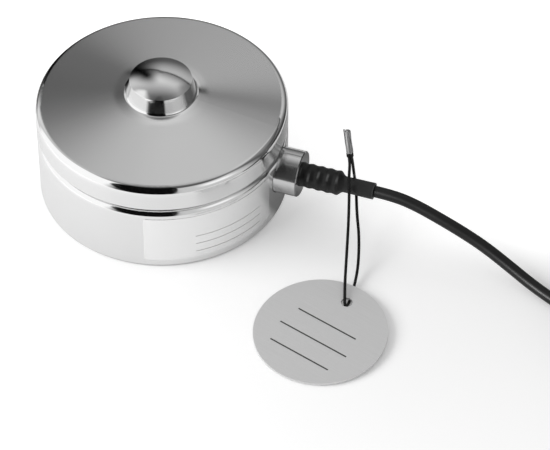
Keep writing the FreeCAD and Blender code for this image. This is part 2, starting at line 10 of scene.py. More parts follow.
import bmesh
import bpy
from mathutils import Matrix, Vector


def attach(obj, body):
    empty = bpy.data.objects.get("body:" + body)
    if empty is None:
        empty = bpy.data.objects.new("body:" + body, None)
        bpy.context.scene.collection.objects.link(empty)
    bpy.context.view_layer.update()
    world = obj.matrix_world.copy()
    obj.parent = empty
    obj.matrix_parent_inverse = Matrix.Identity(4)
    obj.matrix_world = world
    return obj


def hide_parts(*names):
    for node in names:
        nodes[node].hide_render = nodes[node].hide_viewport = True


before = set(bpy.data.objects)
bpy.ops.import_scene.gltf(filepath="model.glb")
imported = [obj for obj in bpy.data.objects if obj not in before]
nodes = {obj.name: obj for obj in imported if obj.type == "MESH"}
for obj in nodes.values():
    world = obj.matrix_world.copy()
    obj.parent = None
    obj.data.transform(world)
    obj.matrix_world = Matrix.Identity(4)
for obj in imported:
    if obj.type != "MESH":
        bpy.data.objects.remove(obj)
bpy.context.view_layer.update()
scene = bpy.context.scene
scene.view_settings.view_transform = "Standard"
print("pieces loaded", len(nodes))


def mm(*values):
    """A point given in millimetres, as the part is drawn, in Blender's metres."""
    return Vector(values) / 1000


# %% [markdown]
# The camera stands in front of the cell, a little to its right, and looks down at it.
# A long lens from about a metre keeps the round cap's ellipse calm, as a product
# picture does. The eye's place was found from the ellipses of rim, seam and base.

# %% Camera
eye = Vector((0.3117, -0.7906, 0.8675))
eye_pitch = math.radians(43.416)
eye_turn = math.radians(18.5)
camera = bpy.data.objects.new("picture_camera", bpy.data.cameras.new("picture_camera"))
camera.data.sensor_width = 36.0
camera.data.lens = 196.36
camera.location = eye
camera.rotation_euler = (eye_pitch, 0.0, eye_turn)
scene.collection.objects.link(camera)
scene.camera = camera
print("camera lens", round(camera.data.lens, 1))

# %% [markdown]
# The cable is one free length: out of the sleeve, down to the table, and the rest wound
# in a neat coil past the picture's edge. A smooth spline that uses the route's points as
# handles bends as a real cable does, so run, coil and tail are one curve.
# The coil is wound in layers: five turns across, then one up, then five turns back.

# %% Route of the cable
cable_thickness = 0.0048
sleeve_end = mm(88.4, 0.0, 19.5)
run_points = [
    (97.0, 0.0, 19.5), (106.0, -0.7, 17.9), (115.4, -2.2, 15.6), (125.6, -3.9, 12.8), (135.8, -6.0, 9.6),
    (146.2, -9.4, 6.2), (156.5, -13.5, 3.4), (166.0, -17.6, 2.4), (176.0, -22.2, 2.4), (186.0, -27.2, 2.4)]
coil_heading = math.radians(-28.5)
coil_forward = Vector((math.cos(coil_heading), math.sin(coil_heading), 0.0))
coil_left = Vector((-coil_forward.y, coil_forward.x, 0.0))
coil_touch = mm(*run_points[-1]) + coil_forward * 0.010
coil_outer, coil_inner, coil_pitch = 0.0472, 0.0278, 0.00485
coil_across, coil_layers = 5, 4
coil_centre = coil_touch + coil_left * coil_outer
tail_steps = [
    (9.5, 0.0, 0.0), (19.5, -1.0, -0.6), (30.0, -3.8, -4.2), (40.5, -7.8, -9.6), (50.0, -12.4, -13.2),
    (59.5, -17.8, -13.8), (68.0, -23.4, -13.8)]
print("coil centre", [round(v, 4) for v in coil_centre])


def eased(value, start, end):
    """0 before start, 1 after end, and a smooth step between."""
    share = min(max((value - start) / (end - start), 0.0), 1.0)
    return share * share * (3 - 2 * share)


# %% Turns of the coil
points_a_turn = 24
step_start, step_end = 0.70, 0.85
last_step = (4.05, 4.25)
climb_share = 0.15
tie_bearing = math.radians(120.0)
tie_spread, tie_squeeze, tie_press = 0.30, 0.09, 0.16


def coil_point(turn):
    """Where the cable lies after so many turns: level turns that step over and up near their end."""
    layer = min(int(turn // coil_across), coil_layers - 1)
    along = turn - layer * coil_across
    last = layer == coil_layers - 1
    steps = [(n + step_start, n + step_end) for n in range(coil_across - 1)]
    if last:
        steps[-1] = last_step
    shift = coil_pitch * sum(eased(along, start, end) for start, end in steps)
    radius = coil_outer - shift if layer % 2 == 0 else coil_inner + shift
    climb = 0.0 if last else eased(along, coil_across - climb_share, coil_across)
    height = cable_thickness * (0.5 + layer + climb)
    angle = coil_heading - math.pi / 2 + 2 * math.pi * turn
    apart = (angle - tie_bearing + math.pi) % (2 * math.pi) - math.pi
    pinch = math.exp(-(apart / tie_spread) ** 2)
    middle_radius = (coil_outer + coil_inner) / 2
    middle_height = cable_thickness * coil_layers / 2
    radius = middle_radius + (radius - middle_radius) * (1 - tie_squeeze * pinch)
    height = middle_height + (height - middle_height) * (1 - tie_press * pinch)
    radius /= math.cos(math.pi / points_a_turn)
    offset = Vector((radius * math.cos(angle), radius * math.sin(angle), height - coil_centre.z))
    return coil_centre + offset


turns = coil_across * coil_layers
wound = [coil_point(i / points_a_turn) for i in range(1, turns * points_a_turn)]
tail_start = coil_touch + Vector((0.0, 0.0, cable_thickness * (coil_layers - 1)))
tail = [tail_start + (coil_forward * a + coil_left * b) / 1000 + mm(0.0, 0.0, c) for a, b, c in tail_steps]
cable_route = [sleeve_end] + [mm(*p) for p in run_points] + [coil_touch] + wound + [tail_start] + tail
print("cable handles", len(cable_route))


# %% [markdown]
# Cable and wire are both round cords, so one helper draws them: a spline of order three
# whose ends reach its first and last handle, given a round section.

# %% Cords
def cord_curve(name, route, thickness, steps):
    """A round cord along a smooth line that takes the route's points as its handles."""
    curve = bpy.data.curves.new(name, "CURVE")
    curve.dimensions = "3D"
    curve.bevel_depth = thickness / 2
    curve.bevel_resolution = 4
    curve.use_fill_caps = True
    line = curve.splines.new("NURBS")
    line.points.add(len(route) - 1)
    for handle, place in zip(line.points, route):
        handle.co = (*place, 1.0)
    line.order_u = 3
    line.use_endpoint_u = True
    line.resolution_u = steps
    line.use_smooth = True
    cord = bpy.data.objects.new(name, curve)
    scene.collection.objects.link(cord)
    return cord


def line_length(cord):
    """Length of a cord's middle line, measured on a copy with no section."""
    bare = cord.copy()
    bare.data = cord.data.copy()
    bare.data.bevel_depth = 0.0
    scene.collection.objects.link(bare)
    mesh = bpy.data.meshes.new_from_object(bare.evaluated_get(bpy.context.evaluated_depsgraph_get()))
    places = [vertex.co for vertex in mesh.vertices]
    length = sum((places[a] - places[b]).length for a, b in (edge.vertices for edge in mesh.edges))
    bpy.data.objects.remove(bare)
    return length


free_cable = cord_curve("free_cable", cable_route, cable_thickness, steps=5)
cable_length = line_length(free_cable)
print("free cable", round(cable_length, 3), "m")

# %% [markdown]
# The tag hangs on a thin coated wire: both ends sit in a pressed crimp above the sleeve,
# one strand falls in front of the sleeve into the tag's hole, the other comes up behind.

# %% Tag wire
wire_thickness = 0.0012
crimp_foot = mm(77.99, -0.29, 37.7)
crimp_lean = Vector((-1.7, 0.1, 13.6)).normalized()
picture_right = Vector((math.cos(eye_turn), math.sin(eye_turn), 0.0))
crimp_across = (picture_right - crimp_lean * picture_right.dot(crimp_lean)).normalized()
strand_depth, strand_drop, strand_offset = 0.0015, 0.003, 0.00052
strand_foot = crimp_foot - crimp_lean * strand_depth
wire_points = [
    (78.7, -3.1, 26.5), (79.6, -5.0, 20.0), (82.15, -13.6, 13.2), (85.9, -28.0, 8.0), (88.4, -37.6, 5.2),
    (90.2, -43.4, 3.9), (91.0, -46.1, 3.0), (91.5, -46.0, 1.3), (91.9, -44.2, 0.7), (91.8, -40.6, 0.9),
    (91.3, -34.2, 1.1), (90.1, -25.4, 2.9), (87.2, -15.4, 8.8), (83.6, -7.4, 12.9), (80.2, 2.6, 14.8),
    (78.6, 4.9, 20.3), (79.4, 1.1, 26.6)]
left_strand = strand_foot - crimp_across * strand_offset
right_strand = strand_foot + crimp_across * strand_offset
wire_route = [left_strand, left_strand - crimp_lean * strand_drop + crimp_across * 0.0002]
wire_route += [mm(*p) for p in wire_points]
wire_route += [right_strand - crimp_lean * strand_drop + crimp_across * 0.0001, right_strand]
tag_wire = cord_curve("tag_wire_loop", wire_route, wire_thickness, steps=12)
wire_length = line_length(tag_wire)
print("tag wire", round(wire_length, 4), "m")


# %% [markdown]
# Every finish is made of shader nodes. To keep that readable, a small class stands for a
# value in a node tree: plain signs on it add Math nodes, and its add method puts in any
# other kind of node.

# %% Shader sums
class Signal:
    """A value in a node tree, so that a finish reads as a sum."""

    def __init__(self, tree, socket=None):
        self.tree = tree
        self.socket = socket

    def add(self, kind, settings=None, inputs=None, output=0):
        """A node of any kind: its settings first, then the values or links of its sockets."""
        made = self.tree.nodes.new(kind)
        for name, value in (settings or {}).items():
            setattr(made, name, value)
        for name, value in (inputs or {}).items():
            if isinstance(value, Signal):
                self.tree.links.new(value.socket, made.inputs[name])
            else:
                made.inputs[name].default_value = value
        return Signal(self.tree, None if output is None else made.outputs[output])

    def sum(self, operation, first, second=0.0):
        """A Math node of one or two values."""
        return self.add("ShaderNodeMath", {"operation": operation}, {0: first, 1: second})

    def __add__(self, other):
        return self.sum("ADD", self, other)

    def __radd__(self, other):
        return self.sum("ADD", other, self)

    def __sub__(self, other):
        return self.sum("SUBTRACT", self, other)

    def __rsub__(self, other):
        return self.sum("SUBTRACT", other, self)

    def __mul__(self, other):
        return self.sum("MULTIPLY", self, other)

    def __rmul__(self, other):
        return self.sum("MULTIPLY", other, self)

    def __truediv__(self, other):
        return self.sum("DIVIDE", self, other)

    def __pow__(self, other):
        return self.sum("POWER", self, other)

    def step(self, low, high, under=0.0, over=1.0):
        """Smooth step from one value to another as this one goes from low to high."""
        return self.add("ShaderNodeMapRange", {"interpolation_type": "SMOOTHSTEP"}, {
            "Value": self, "From Min": low, "From Max": high, "To Min": under, "To Max": over})

    def within(self, low, high, soft):
        """1 between two values and 0 outside, with soft edges."""
        return self.step(low - soft, low + soft) * self.step(high - soft, high + soft, 1.0, 0.0)

    def along(self, direction):
        """This vector's share along a direction."""
        sides = {0: self, 1: direction}
        return self.add("ShaderNodeVectorMath", {"operation": "DOT_PRODUCT"}, sides, "Value")

    def measured_from(self, point):
        """This place as seen from a point."""
        return self.add("ShaderNodeVectorMath", {"operation": "SUBTRACT"}, {0: self, 1: point})

    def noise(self, scale, detail=2.0, roughness=0.5):
        """Soft noise of this place, about one half."""
        return self.add("ShaderNodeTexNoise", {"noise_dimensions": "3D"}, {
            "Vector": self, "Scale": scale, "Detail": detail, "Roughness": roughness})

    def shade(self, dark, light):
        """A grey or a colour between two, by this share."""
        return self.add("ShaderNodeMix", {"data_type": "RGBA"}, {0: self, 6: dark, 7: light}, 2)

    def as_grey(self):
        """This value as a grey."""
        return self.shade(grey(0.0), grey(1.0))

    def bump(self, distance):
        """A surface that this value raises."""
        return self.add("ShaderNodeBump", None, {"Height": self, "Distance": distance, "Strength": 1.0})


print("shader sums ready")


# %% [markdown]
# A finish starts from an empty tree with the piece's own coordinates, and ends in one
# shader. Metals and plastics only differ in what is set on that shader.

# %% Starting and ending a finish
def start_finish(name):
    """An empty material, the value its sums start from, and the piece's coordinates."""
    finish = bpy.data.materials.new(name)
    finish.use_nodes = True
    finish.node_tree.nodes.clear()
    root = Signal(finish.node_tree)
    return finish, root, root.add("ShaderNodeTexCoord", output="Object")


def surface(root, inputs):
    """One shader with these sockets set or linked."""
    return root.add("ShaderNodeBsdfPrincipled", None, inputs, "BSDF")


def blend(root, share, first, second):
    """The first shader where the share is 0, the second where it is 1."""
    return root.add("ShaderNodeMixShader", None, {0: share, 1: first, 2: second})


def end_finish(finish, root, shader):
    """Sends a shader to the material's output."""
    root.add("ShaderNodeOutputMaterial", None, {"Surface": shader}, None)
    return finish


def grey(value):
    """A plain grey."""
    return (value, value, value, 1.0)


def stretched(root, x, y=0.0):
    """A place made of two values, for noise that runs one way."""
    return root.add("ShaderNodeCombineXYZ", None, {"X": x, "Y": y})


def axis_distance(place, along_a, along_b):
    """Distance from an axis, from the two directions square to it."""
    a = place.along(along_a)
    b = place.along(along_b)
    return (a * a + b * b) ** 0.5


print("finish helpers ready")


# %% [markdown]
# The cap is turned from stainless bar. Its sloped top keeps fine rings from the tool, so
# it spreads light across the rings only, which gives the bow-tie sheen. Its wall is turned
# finer, and its rim and load button are polished to a mirror. One material mixes these
# finishes by distance from the axis and by height.

# %% Turned and polished steel
EAST, NORTH, UP = (1.0, 0.0, 0.0), (0.0, 1.0, 0.0), (0.0, 0.0, 1.0)


def turned_rings(distance, root):
    """Fine uneven rings of a turned face, from the distance to its axis."""
    return stretched(root, distance).noise(4200.0, 3.0, 0.6)


def satin_turned(root, rings, tone, rough):
    """Turned face: dull across its rings, bright along them."""
    return surface(root, {
        "Base Color": rings.shade(grey(tone - 0.03), grey(tone + 0.03)), "Metallic": 1.0,
        "Roughness": rings * 0.04 + (rough - 0.02), "Anisotropic": 0.97, "Anisotropic Rotation": 0.25})


def mirror_turned(root, place, tone, rough):
    """Polished face with a trace of the polishing wheel."""
    haze = place.noise(60.0, 4.0)
    return surface(root, {
        "Base Color": haze.shade(grey(tone - 0.03), grey(tone + 0.03)), "Metallic": 1.0,
        "Roughness": haze * 0.04 + (rough - 0.02)})


cap_zones = {
    "dome edge": (0.0121, 0.0123), "flank": (0.0124, 0.0151, 0.0001), "flank foot": (0.0479, 0.0482),
    "polish ends": (0.0149, 0.0164), "satin starts": (0.0165, 0.0200), "rim": (0.0475, 0.0477),
    "cone height": (0.0405, 0.0415), "wall": (0.0494, 0.0496), "wall top": (0.0380, 0.0390),
    "painted_underside_shade": (0.03177, 0.03181)}
housing_zones = {"base edge": (0.0004, 0.0008), "shoulder": (0.0262, 0.0270)}
boss_face_shade = (0.0581, 0.0583)


def cap_finish():
    """Satin cone, fine turned wall, hardened dome, a near black dull face under the overhang as painted
    shade, and mirror polish elsewhere.
    """
    finish, root, place = start_finish("turned_cap_steel")
    distance = axis_distance(place, EAST, NORTH)
    high = place.along(UP)
    cone_rough = distance.step(*cap_zones["satin starts"], 0.10, 0.19)
    satin = satin_turned(root, turned_rings(distance, root), 0.80, cone_rough)
    side = satin_turned(root, turned_rings(high, root), 0.85, 0.17)
    dome = distance.step(*cap_zones["dome edge"], 1.0, 0.0)
    haze = place.noise(60.0, 4.0)
    flank = distance.within(*cap_zones["flank"]) * high.step(*cap_zones["flank foot"])
    streaks = stretched(root, high).noise(1300.0, 3.0, 0.7)
    mirror = surface(root, {
        "Base Color": (haze * 0.05 + 0.84 - dome * 0.12).as_grey(), "Metallic": 1.0,
        "Roughness": haze * 0.03 + dome * 0.04 + 0.05, "Normal": (streaks * flank).bump(0.00002)})
    wall = distance.step(*cap_zones["wall"]) * high.step(*cap_zones["wall top"], 1.0, 0.0)
    cone = distance.step(*cap_zones["polish ends"]) * distance.step(*cap_zones["rim"], 1.0, 0.0)
    cone = cone * high.step(*cap_zones["cone height"])
    top = blend(root, cone, blend(root, wall, mirror, side), satin)
    # Painted shade: the face under the overhang is near black dull steel, for the seam gap's shadow.
    dull = surface(root, {"Base Color": grey(0.06), "Metallic": 1.0, "Roughness": haze * 0.1 + 0.40})
    painted_underside_shade = high.step(*cap_zones["painted_underside_shade"], 1.0, 0.0)
    return end_finish(finish, root, blend(root, painted_underside_shade, top, dull))


def housing_finish():
    """Fine turned wall, mirror shoulder, and a dull bottom edge painted darker as shade."""
    finish, root, place = start_finish("polished_housing_steel")
    distance = axis_distance(place, EAST, NORTH)
    high = place.along(UP)
    dull = satin_turned(root, turned_rings(distance, root), 0.40, 0.40)
    mirror = mirror_turned(root, place, 0.86, 0.08)
    side = satin_turned(root, turned_rings(high, root), 0.86, 0.15)
    wall = high.step(*housing_zones["shoulder"], 1.0, 0.0)
    # Painted shade: the lowest band is darker dull steel, for the contact shadow along the foot.
    painted_base_shade = high.step(*housing_zones["base edge"], 1.0, 0.0)
    return end_finish(finish, root, blend(root, painted_base_shade, blend(root, wall, mirror, side), dull))


def boss_finish():
    """Boss turned about the cable's axis, with fine tool lines round it and a polished face painted darker
    as the sleeve's shade.
    """
    finish, root, place = start_finish("turned_boss_steel")
    lines = turned_rings(place.along(EAST), root)
    # Painted shade: the face and its chamfer by the sleeve are darker, for the sleeve's shadow.
    face = place.along(EAST).step(*boss_face_shade)
    return end_finish(finish, root, surface(root, {
        "Base Color": (lines * 0.10 + 0.60 - face * 0.33).as_grey(), "Metallic": 0.94,
        "Roughness": lines * 0.10 - face * 0.03 + 0.10, "Normal": lines.bump(0.000004)}))


print("steel finishes ready")


# %% [markdown]
# The tag is a punched disc of brushed sheet. Its brush lines run one way, and three rows
# of plain rules are cut into it for a number that the user stamps.

# %% Brushed tag
tag_bearing = math.radians(72.4)
tag_place = mm(86.2, -61.5, 1.0)
tag_up = (math.cos(tag_bearing), math.sin(tag_bearing), 0.0)
tag_side = (math.sin(tag_bearing), -math.cos(tag_bearing), 0.0)
tag_rules = [(0.0135, 0.0040), (0.0155, -0.0052), (0.0135, -0.0144)]
rule_width, rule_edge = 0.0006, 0.0001


def tag_finish():
    """Brushed steel with three rows of engraved rules."""
    finish, root, place = start_finish("brushed_tag_steel")
    offset = place.measured_from(tag_place)
    across = offset.along(tag_side)
    up = offset.along(tag_up)
    brush = stretched(root, across * 60.0, up * 2600.0).noise(1.0, 3.0, 0.6)
    rules = sum(
        across.within(-half, half, rule_edge) * up.within(low, low + rule_width, rule_edge)
        for half, low in tag_rules)
    cut = rules * place.along(UP).step(0.0002, 0.0004)
    return end_finish(finish, root, surface(root, {
        "Base Color": cut.shade(brush.shade(grey(0.74), grey(0.85)), grey(0.03)),
        "Metallic": 0.68 - cut * 0.5, "Roughness": brush * 0.12 + 0.36,
        "Normal": (brush * 0.05 - cut).bump(0.0001)}))


print("tag finish ready")


# %% [markdown]
# Rubber, jacket and nylon are dark or coloured plastics. Each has its own grain: the
# shrunk sleeve is a little waxy and uneven, the cable jacket is drawn smooth, the wire's
# coat is glossy.

# %% Plastics
def plastic_finish(name, tone, rough, grain_scale, grain_depth, lift=0.25, shine=0.5):
    """Moulded or drawn plastic: a tone that wanders a little and a fine grain."""
    finish, root, place = start_finish(name)
    cloud = place.noise(90.0, 3.0)
    grain = place.noise(grain_scale, 3.0, 0.6)
    darker = tuple(v * (1 - lift) for v in tone)
    lighter = tuple(v * (1 + lift) for v in tone)
    return end_finish(finish, root, surface(root, {
        "Base Color": cloud.shade((*darker, 1.0), (*lighter, 1.0)), "Specular IOR Level": shine,
        "Roughness": cloud * 0.10 + grain * 0.08 + (rough - 0.09), "Normal": grain.bump(grain_depth)}))


def metal_finish(name, tone, rough, grain_scale, grain_depth):
    """Plain metal of one colour with a fine grain."""
    finish, root, place = start_finish(name)
    grain = place.noise(grain_scale, 3.0, 0.6)
    darker = tuple(v * 0.92 for v in tone)
    return end_finish(finish, root, surface(root, {
        "Base Color": grain.shade((*darker, 1.0), (*tone, 1.0)), "Metallic": 1.0,
        "Roughness": grain * 0.12 + (rough - 0.06), "Normal": grain.bump(grain_depth)}))


boot_finish = plastic_finish("end_boot_black", (0.022, 0.022, 0.022), 0.42, 900.0, 0.00002)
jacket_finish = plastic_finish(
    "cable_jacket_black", (0.008, 0.008, 0.008), 0.36, 2200.0, 0.00001, shine=0.25)
wire_finish = plastic_finish("wire_coat_black", (0.005, 0.005, 0.005), 0.26, 2500.0, 0.00001, shine=0.25)
nylon_finish = plastic_finish("tie_nylon_black", (0.020, 0.020, 0.020), 0.40, 1500.0, 0.00001)


def pressed_finish():
    """Soft metal drawn by the press: lengthwise streaks, and painted shade that darkens its right half."""
    finish, root, place = start_finish("pressed_crimp_silver")
    offset = place.measured_from(crimp_foot)
    across = offset.along(crimp_across)
    up = offset.along(crimp_lean)
    streaks = stretched(root, across * 2400.0, up * 90.0).noise(1.0, 3.0, 0.6)
    # Painted shade: the right half, away from the key lamp, is darker.
    painted_side_shade = across.step(-0.0001, 0.0011)
    tone = streaks.step(0.30, 0.65, 0.34, 0.80) - painted_side_shade * 0.30
    return end_finish(finish, root, surface(root, {
        "Base Color": tone.as_grey(), "Metallic": 1.0, "Roughness": streaks * 0.10 + 0.12}))


crimp_finish = pressed_finish()
lug_finish = metal_finish("core_lug_silver", (0.70, 0.70, 0.69), 0.22, 1400.0, 0.00002)
print("plastics ready")

# %% Finishes of the pieces inside and of the cable's end
inner_finishes = {
    "rubber_black": plastic_finish("seal_rubber_black", (0.02, 0.02, 0.02), 0.55, 1500.0, 0.00002),
    "machined": metal_finish("machined_column_steel", (0.62, 0.61, 0.60), 0.30, 1800.0, 0.00001),
    "screw": metal_finish("screw_steel", (0.55, 0.55, 0.56), 0.26, 2200.0, 0.00001),
    "brass": metal_finish("nipple_brass", (0.75, 0.56, 0.28), 0.28, 1500.0, 0.00001),
    "board": plastic_finish("board_green", (0.02, 0.16, 0.06), 0.38, 700.0, 0.00001),
    "chip": plastic_finish("chip_black", (0.02, 0.02, 0.022), 0.50, 3000.0, 0.00001),
    "can": metal_finish("can_metal", (0.70, 0.70, 0.70), 0.25, 1500.0, 0.00001),
    "terminal": plastic_finish("terminal_grey", (0.22, 0.23, 0.25), 0.45, 1500.0, 0.00001),
    "ceramic": plastic_finish("ceramic_white", (0.78, 0.77, 0.74), 0.35, 2500.0, 0.00001, 0.04),
    "insulation": plastic_finish("core_insulation_grey", (0.30, 0.30, 0.30), 0.40, 2000.0, 0.00001),
    "red": plastic_finish("core_red", (0.45, 0.02, 0.02), 0.38, 2500.0, 0.00001),
    "black": plastic_finish("core_black", (0.012, 0.012, 0.012), 0.38, 2500.0, 0.00001),
    "green": plastic_finish("core_green", (0.02, 0.22, 0.06), 0.38, 2500.0, 0.00001),
    "white": plastic_finish("core_white", (0.72, 0.72, 0.70), 0.38, 2500.0, 0.00001, 0.04),
}
print("inner finishes", len(inner_finishes))

# %% Finish of each piece
piece_finishes = {
    "load_cap": cap_finish(), "housing": housing_finish(), "cable_boss": boss_finish(),
    "id_tag": tag_finish(), "crimp_collar": wire_finish,
    "coil_tie": nylon_finish, "end_boot": boot_finish, "end_core_lugs": lug_finish,
    "end_core_red": inner_finishes["red"], "end_core_black": inner_finishes["black"],
    "end_core_green": inner_finishes["green"], "end_core_white": inner_finishes["white"],
    "seam_seal": inner_finishes["rubber_black"], "boss_gasket": inner_finishes["rubber_black"],
    "gland_bush": inner_finishes["rubber_black"], "gland_nipple": inner_finishes["brass"],
    "thrust_washer": inner_finishes["machined"], "spring_column": inner_finishes["machined"],
    "counter_electrode": inner_finishes["machined"], "sensor_clamp": inner_finishes["machined"],
    "ceramic_sensor": inner_finishes["ceramic"], "sensor_lead": inner_finishes["insulation"],
    "circuit_board": inner_finishes["board"], "board_spacers": inner_finishes["machined"],
    "board_capacitors": inner_finishes["can"], "terminal_block": inner_finishes["terminal"],
    "core_wires": inner_finishes["insulation"], "column_screws": inner_finishes["screw"],
    "board_screws": inner_finishes["screw"], "processor_chip": inner_finishes["chip"],
    "crystal_can": inner_finishes["can"], "cable_in_gland": jacket_finish,
}
for name, finish in piece_finishes.items():
    nodes[name].material_slots[0].material = finish
print("finished pieces", len(piece_finishes))

# %% [markdown]
# The black sleeve is a tube shrunk over the ribbed nipple: four low rings, a neck, and a
# thin end that grips the cable. Its radius follows a rule along its length, so Geometry
# Nodes make it: a flat grid is rolled up, out along the outer side and back along the cable,
# and the rule plus a little unevenness sets how far each point stands off.

# %% Ribbed sleeve
sleeve_sizes = {
    "Boss Face": 0.0586, "Sleeve Length": 0.0298, "Axis Height": 0.0195, "Last Rib": 0.0150,
    "Rib Pitch": 0.0038, "Rib Radius": 0.00498, "Rib Height": 0.00032, "Neck Length": 0.0026,
    "Thin Radius": 0.00322, "Thin Flare": 0.00012, "Cable Radius": 0.00243, "Unevenness": 0.00020,
    "Seed": 4.0}
sleeve_thin, sleeve_cut = (0.0745, 0.0775), (0.08795, 0.0883)
# Which way the rib crests with a painted highlight face (up and to the front), and how far out it starts.
crest_highlight_way, crest_highlight_edge = (0.0, -0.69, 0.72), (0.0180, 0.0188)


def work_in(piece):
    """Makes a piece's modifiers part of its mesh."""
    piece.data = bpy.data.meshes.new_from_object(piece.evaluated_get(bpy.context.evaluated_depsgraph_get()))
    piece.modifiers.clear()


def sleeve_tree(finish):
    """Rolls a grid into the sleeve: along is the way round its section, turn the way round its axis."""
    tree = bpy.data.node_groups.new("ribbed_sleeve", "GeometryNodeTree")
    for name in sleeve_sizes:
        tree.interface.new_socket(name, in_out="INPUT", socket_type="NodeSocketFloat")
    tree.interface.new_socket("Sleeve", in_out="OUTPUT", socket_type="NodeSocketGeometry")
    root = Signal(tree)
    sockets = root.add("NodeGroupInput").socket.node.outputs
    size = {name: Signal(tree, sockets[name]) for name in sleeve_sizes}
    flat = root.add("GeometryNodeMeshGrid", None, {
        "Size X": 1.0, "Size Y": 1.0, "Vertices X": 300, "Vertices Y": 65})
    spot = root.add("GeometryNodeInputPosition")
    length, last, pitch = size["Sleeve Length"], size["Last Rib"], size["Rib Pitch"]
    lip = size["Thin Radius"] + size["Thin Flare"] - size["Cable Radius"]
    foot = size["Rib Radius"] - size["Cable Radius"]
    way = (spot.along(EAST) + 0.5) * (length * 2.0 + lip + foot)
    outward = root.sum("MINIMUM", way, length)
    over_lip = root.sum("MINIMUM", root.sum("MAXIMUM", way - length, 0.0), lip)
    homeward = root.sum("MINIMUM", root.sum("MAXIMUM", way - length - lip, 0.0), length)
    up_foot = root.sum("MAXIMUM", way - length * 2.0 - lip, 0.0)
    wave = root.sum("COSINE", (outward - last) / pitch * (2 * math.pi)) - 1.0
    ribbed = size["Rib Radius"] + wave * size["Rib Height"] * 0.5
    drawn_in = outward.step(last + pitch * 0.04, last + size["Neck Length"] * 1.05)
    thin = size["Thin Radius"] + outward.step(last, length) * size["Thin Flare"]
    outline = ribbed * (1.0 - drawn_in) + thin * drawn_in
    start_outline = size["Rib Radius"] - size["Rib Height"] * 0.25
    radius = outline - over_lip + up_foot * ((start_outline - size["Cable Radius"]) / foot)
    turn = (spot.along(NORTH) + 0.5) * (2 * math.pi)
    x = size["Boss Face"] + outward - homeward
    y = root.sum("COSINE", turn)
    z = root.sum("SINE", turn) * -1.0
    skin = root.add("ShaderNodeCombineXYZ", None, {"X": x + size["Seed"], "Y": y * radius, "Z": z * radius})
    outer_side = outward.step(0.0, 0.001) * way.step(length - 0.001, length, 1.0, 0.0)
    radius = radius + (skin.noise(330.0, 3.0, 0.55) - 0.5) * size["Unevenness"] * outer_side
    place = root.add("ShaderNodeCombineXYZ", None, {
        "X": x, "Y": y * radius, "Z": z * radius + size["Axis Height"]})
    rolled = root.add("GeometryNodeSetPosition", None, {"Geometry": flat, "Position": place})
    closed = root.add("GeometryNodeMergeByDistance", None, {"Geometry": rolled, "Distance": 0.000002})
    smooth = root.add("GeometryNodeSetShadeSmooth", None, {"Geometry": closed})
    whole = root.add("GeometryNodeRealizeInstances", None, {"Geometry": smooth})
    dressed = root.add("GeometryNodeSetMaterial", None, {"Geometry": whole, "Material": finish})
    root.add("NodeGroupOutput", None, {0: dressed}, None)
    return tree


def sleeve_finish():
    """Waxy black tube: satin over the ribs, with a painted highlight in patches on the crests that face up
    and forward, duller and greyer where it is thin, pale at its cut end.
    """
    finish, root, place = start_finish("shrunk_sleeve_black")
    along = place.along(EAST)
    thin = along.step(*sleeve_thin)
    cut = along.step(*sleeve_cut)
    cloud = place.noise(160.0, 3.0)
    grain = place.noise(1100.0, 3.0, 0.6)
    last_rib = sleeve_sizes["Boss Face"] + sleeve_sizes["Last Rib"]
    wave = root.sum("COSINE", (along - last_rib) * (2 * math.pi / sleeve_sizes["Rib Pitch"]))
    # Painted highlight: rib crests on the side facing up and to the front are lighter in patches, as if
    # they caught the light.
    outer = place.along(crest_highlight_way).step(*crest_highlight_edge)
    painted_crest_highlight = wave.step(0.45, 1.0) * place.noise(260.0, 1.0).step(0.38, 0.62) * outer * (1.0 - thin)
    tone = cloud * 0.006 + thin * 0.010 + cut * 0.035 + painted_crest_highlight * 0.07 + 0.007
    return end_finish(finish, root, surface(root, {
        "Base Color": tone.as_grey(), "Specular IOR Level": 0.35,
        "Roughness": cloud * 0.10 + grain * 0.06 + thin * 0.04 + 0.34, "Normal": grain.bump(0.00002)}))


def ribbed_sleeve():
    """The sleeve as a plain mesh, made by its tree."""
    sleeve = bpy.data.objects.new("ribbed_sleeve", bpy.data.meshes.new("ribbed_sleeve"))
    scene.collection.objects.link(sleeve)
    rule = sleeve.modifiers.new("rule", "NODES")
    rule.node_group = sleeve_tree(sleeve_finish())
    for item in rule.node_group.interface.items_tree:
        if item.in_out == "INPUT":
            rule[item.identifier] = sleeve_sizes[item.name]
    work_in(sleeve)
    return sleeve


sleeve = ribbed_sleeve()
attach(sleeve, "root")
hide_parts("heat_shrink_sleeve")
print("ribbed sleeve", len(sleeve.data.polygons), "faces")


# %% [markdown]
# The crimp is a soft metal tube pressed round both strands. The press leaves folds along it,
# and its cut top stays open and a little ragged, so it is built ring by ring.

# %% Pressed crimp
crimp_length, crimp_half_width, crimp_half_depth = 0.0124, 0.00138, 0.00085
crimp_points, crimp_rings = 56, 24
crimp_front = crimp_across.cross(crimp_lean).normalized()


def crimp_ring(shape, share, scale, drop):
    """One ring of the tube: a flattened round with folds, whose top edge is uneven."""
    ring = []
    for i in range(crimp_points):
        turn = 2 * math.pi * i / crimp_points
        fold = math.cos(5 * turn + 0.9 + 0.7 * share) * 0.15 + math.cos(8 * turn + 2.2 * share) * 0.025
        pinch = 1 - 0.05 * math.sin(math.pi * share) + 0.03 * math.sin(9 * share + turn)
        wide = math.copysign(abs(math.cos(turn)) ** 0.85, math.cos(turn)) * crimp_half_width
        deep = math.copysign(abs(math.sin(turn)) ** 0.85, math.sin(turn)) * crimp_half_depth
        ragged = 1 - 0.055 * (1 + math.cos(turn)) / 2 - 0.022 * math.sin(3 * turn + 1) * share
        high = crimp_length * share * ragged - drop
        side = scale * pinch * (0.92 + fold)
        ring.append(shape.verts.new(
            crimp_foot + crimp_lean * high + crimp_across * (wide * side) + crimp_front * (deep * side)))
    return ring


